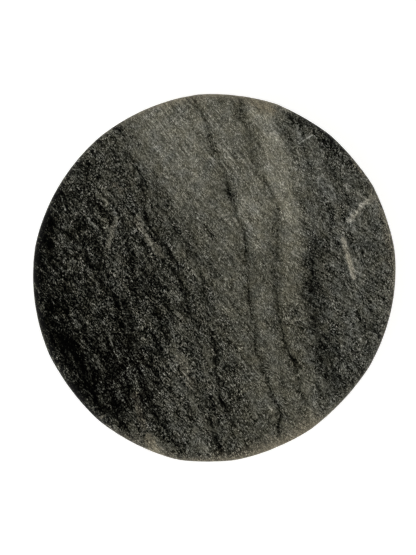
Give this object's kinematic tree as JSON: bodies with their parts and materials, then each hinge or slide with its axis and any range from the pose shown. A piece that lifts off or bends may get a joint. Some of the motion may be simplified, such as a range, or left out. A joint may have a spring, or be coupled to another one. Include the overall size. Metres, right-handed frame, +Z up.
{
  "type": "massage stone",
  "caption": "Palm-sized flat round massage stone of dark banded rock, honed matt with softly eased rims, to be warmed or chilled and laid on or rubbed over the body.",
  "frame": {"origin": "on the underside, at the centre of the outline's box", "axes": "+Z up through the thickness, from the underside to the top face; +Y along the slightly longer width of the outline"},
  "size_m": [0.0898, 0.091, 0.02],
  "materials": {
    "stone": "honed"
  },
  "bodies": {
    "root": {"stone": "stone"}
  },
  "joints": []
}
